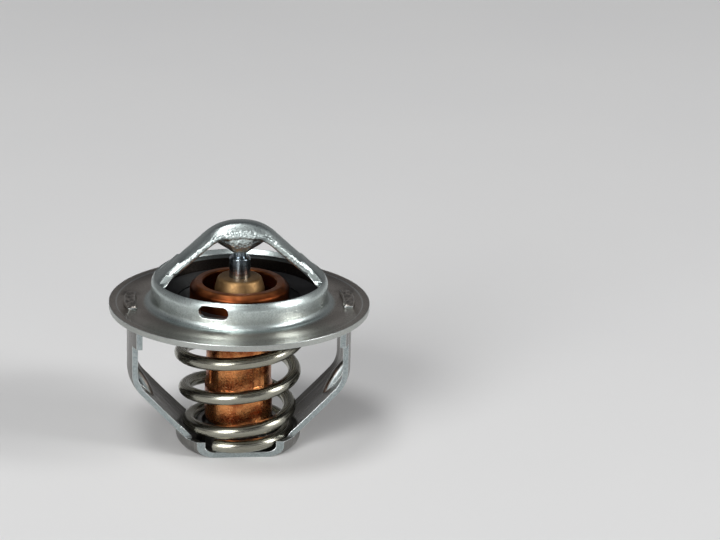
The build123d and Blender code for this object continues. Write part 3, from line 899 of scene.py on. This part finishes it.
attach(capsule, "valve")


# Valve plate
# Copper-alloy sheet, pressed and folded double into an upright rim round the
# capsule, with a flat disc that the spring pushes on.

# Pressed copper alloy: red-brown, satin, with drawing rings round the rim and
# a painted highlight that brightens the top of the rim.
plate_copper, tree, place = new_material("pressed_copper_alloy")
split = add_node(tree, "ShaderNodeSeparateXYZ", {"Vector": place})
# Drawing rings 0.35 mm apart, a noise that changes mostly with height.
ring_place = add_node(
    tree, "ShaderNodeMapping", {"Vector": place, "Scale": (1000 / 12, 1000 / 12, 1000 / 0.35)}
)
drawn = add_node(tree, "ShaderNodeTexNoise", {"Vector": ring_place, "Scale": 1.0, "Detail": 2.0})
clouds = add_node(tree, "ShaderNodeTexNoise", {"Vector": place, "Scale": 1000 / 2.2, "Detail": 4.0})
tone = add_node(
    tree,
    "ShaderNodeMix",
    {"Factor": drawn, "A": linear("#522612"), "B": linear("#874927")},
    **colour_mix,
)
# Painted highlight: the top of the rim, above 4.8 mm, is lightened.
rim_top_highlight = add_node(
    tree,
    "ShaderNodeMapRange",
    {"Value": split.outputs["Z"], "From Min": 0.0048, "From Max": 0.0056, "To Max": 0.55},
)
wear_and_highlight_tone = add_node(
    tree,
    "ShaderNodeMix",
    {"Factor": rim_top_highlight, "A": tone, "B": linear("#AE7044")},
    **colour_mix,
)
gloss = add_node(
    tree,
    "ShaderNodeMapRange",
    {"Value": clouds, "From Min": 0.3, "From Max": 0.7, "To Min": 0.55, "To Max": 0.3},
    **soft_step,
)
relief = add_node(tree, "ShaderNodeBump", {"Height": drawn, "Strength": 0.35, "Distance": 0.00006})
surface = add_node(
    tree,
    "ShaderNodeBsdfPrincipled",
    {
        "Base Color": wear_and_highlight_tone,
        "Metallic": 1.0,
        "Roughness": gloss,
        "Normal": relief,
    },
)
add_node(tree, "ShaderNodeOutputMaterial", {"Surface": surface})
finish_solid("valve_plate", plate_copper)


# Valve seal
# Black nitrile rubber ring, moulded in one and stretched over the edge of the
# disc, with a lip that closes against the underside of the flange.

# Moulded nitrile rubber: near-black, soft sheen on the lip, faint bloom.
seal_rubber, tree, place = new_material("moulded_nitrile_rubber")
bloom = add_node(tree, "ShaderNodeTexNoise", {"Vector": place, "Scale": 1000 / 3.0, "Detail": 4.0})
grain = add_node(tree, "ShaderNodeTexNoise", {"Vector": place, "Scale": 1000 / 0.4, "Detail": 2.0})
tone = add_node(
    tree,
    "ShaderNodeMix",
    {"Factor": bloom, "A": linear("#0C0C0D"), "B": linear("#1B1B1D")},
    **colour_mix,
)
gloss = add_node(tree, "ShaderNodeMapRange", {"Value": bloom, "To Min": 0.4, "To Max": 0.65})
relief = add_node(tree, "ShaderNodeBump", {"Height": grain, "Strength": 0.2, "Distance": 0.00004})
surface = add_node(
    tree,
    "ShaderNodeBsdfPrincipled",
    {"Base Color": tone, "Roughness": gloss, "Normal": relief},
)
add_node(tree, "ShaderNodeOutputMaterial", {"Surface": surface})
finish_solid("valve_seal", seal_rubber)


# Inside of the capsule
# The wax charge, the rubber sleeve that it squeezes round the piston, and the
# washer that keeps the sleeve out of the piston's running gap.

# Paraffin wax with copper powder: translucent tan with a dusty speckle.
charge_wax, tree, place = new_material("copper_filled_wax")
powder = add_node(tree, "ShaderNodeTexNoise", {"Vector": place, "Scale": 1000 / 0.3, "Detail": 3.0})
tone = add_node(
    tree,
    "ShaderNodeMix",
    {"Factor": powder, "A": linear("#B99566"), "B": linear("#DCC49A")},
    **colour_mix,
)
surface = add_node(
    tree,
    "ShaderNodeBsdfPrincipled",
    {"Base Color": tone, "Roughness": 0.5, "Subsurface Weight": 0.15, "Subsurface Scale": 0.001},
)
add_node(tree, "ShaderNodeOutputMaterial", {"Surface": surface})
finish_solid("wax_charge", charge_wax)
finish_solid("rubber_sleeve", seal_rubber)

# Turned PTFE: waxy white with faint turning rings.
washer_ptfe, tree, place = new_material("turned_ptfe")
cuts = add_node(
    tree,
    "ShaderNodeTexWave",
    {"Vector": place, "Scale": 1000 / 3.0, "Distortion": 0.4},
    wave_type="RINGS",
    rings_direction="Z",
)
tone = add_node(
    tree,
    "ShaderNodeMix",
    {"Factor": cuts.outputs["Fac"], "A": linear("#DCDCD8"), "B": linear("#EDEDEA")},
    **colour_mix,
)
surface = add_node(tree, "ShaderNodeBsdfPrincipled", {"Base Color": tone, "Roughness": 0.45})
add_node(tree, "ShaderNodeOutputMaterial", {"Surface": surface})
finish_solid("backup_washer", washer_ptfe)
